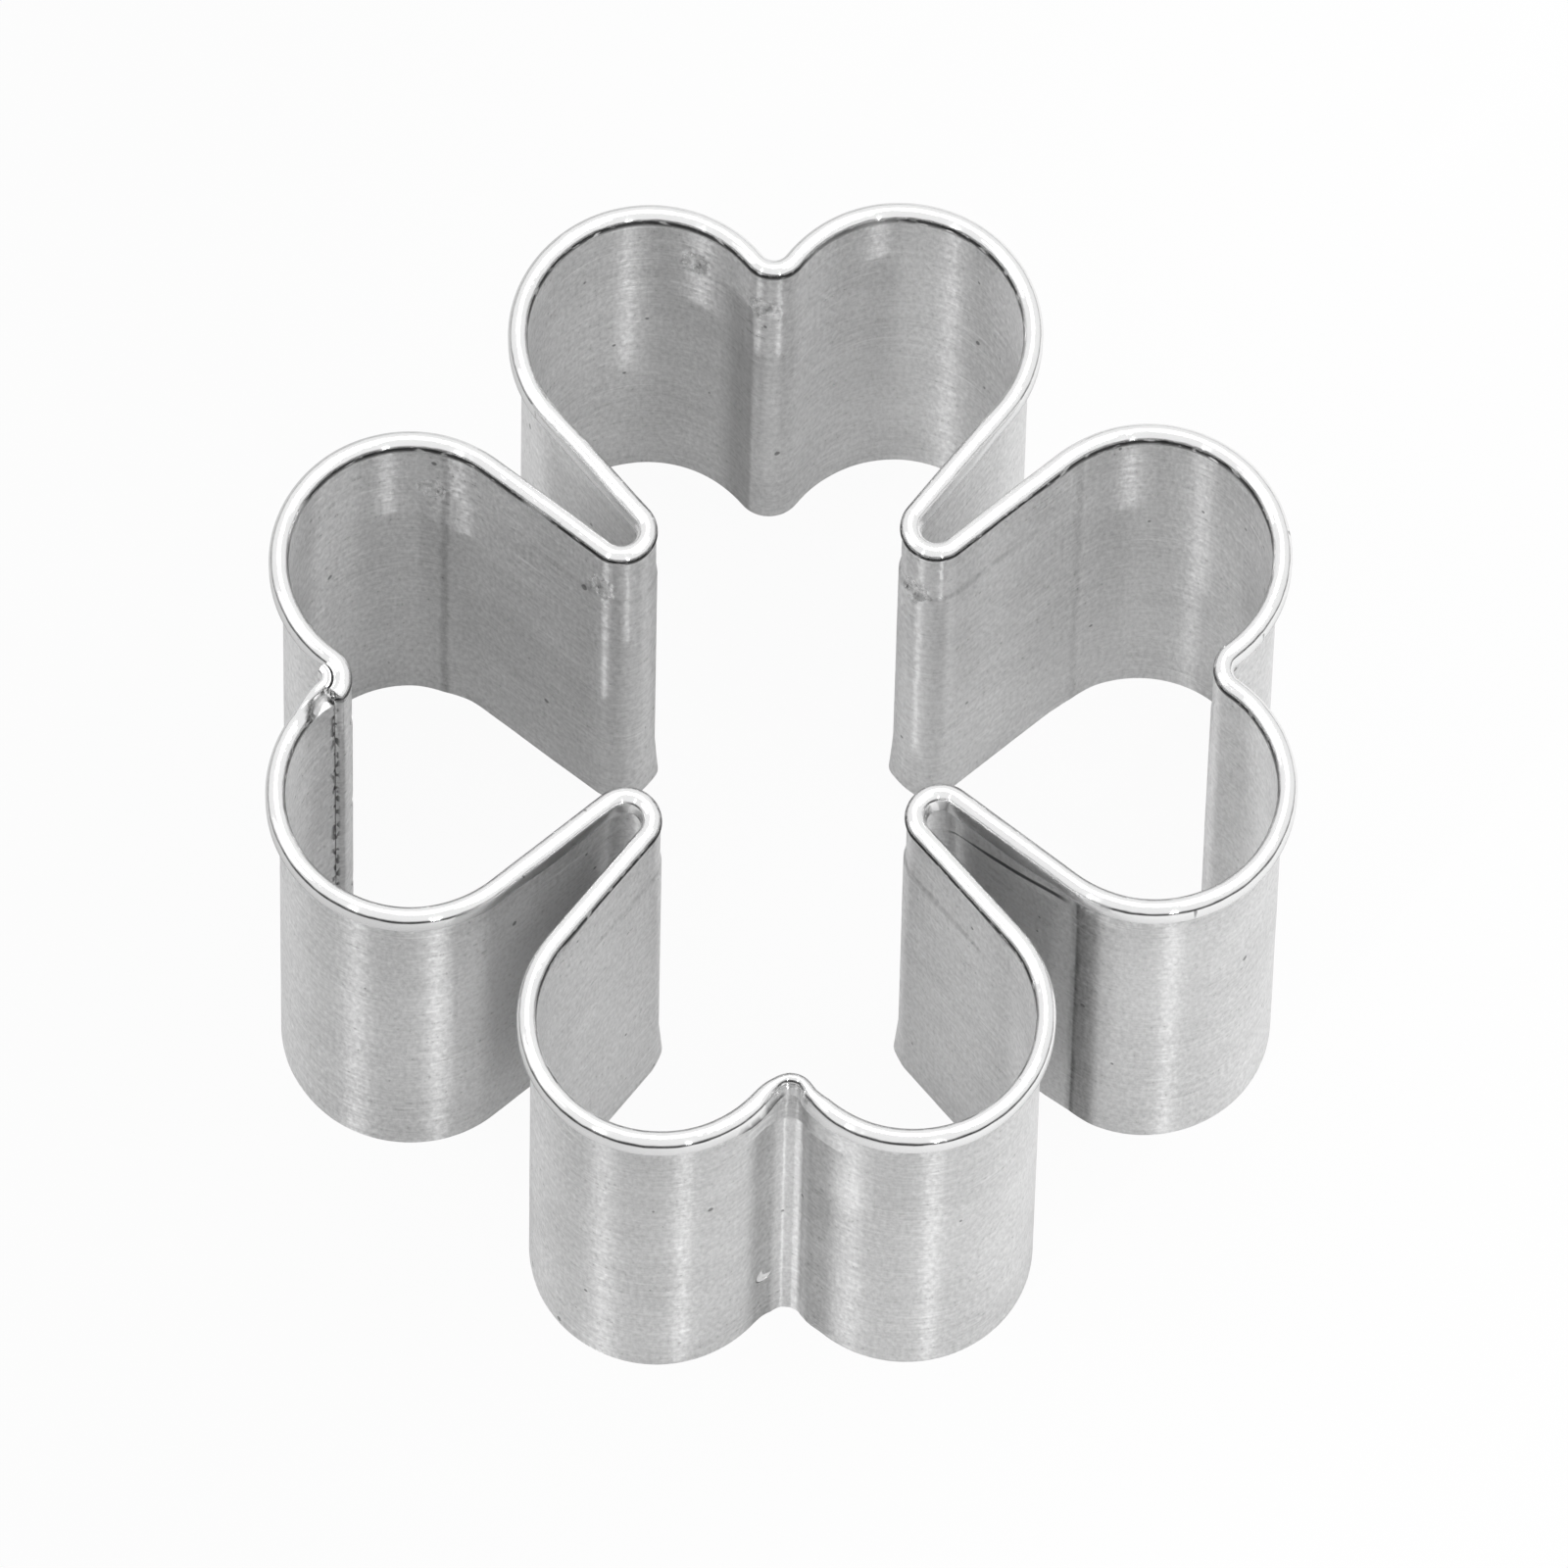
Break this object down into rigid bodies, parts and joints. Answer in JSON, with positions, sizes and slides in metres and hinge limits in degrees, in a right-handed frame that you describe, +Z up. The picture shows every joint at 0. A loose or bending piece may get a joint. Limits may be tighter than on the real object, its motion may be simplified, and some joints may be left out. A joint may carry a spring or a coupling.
{
  "type": "cookie cutter",
  "caption": "Small four-leaf-clover cookie cutter: an open steel band bent into hearts, with a rolled upper rim, a plain cutting edge and a spot-welded lap seam.",
  "frame": {"origin": "middle of the clover, on the surface that the cutting edge stands on", "axes": "+Z up, from the cutting edge to the rolled rim; one heart points along each of +X, -X, +Y and -Y; the lapped seam is in the -X heart's notch, and the picture looks from the -Y side"},
  "size_m": [0.0423, 0.0422, 0.025],
  "materials": {
    "tinned_steel": "satin, fine scratches along the strip",
    "weld_metal": "matt, slightly darker"
  },
  "bodies": {
    "root": {"cutter_band": "tinned_steel", "spot_weld_lower": "weld_metal", "spot_weld_middle": "weld_metal", "spot_weld_upper": "weld_metal"}
  },
  "joints": []
}
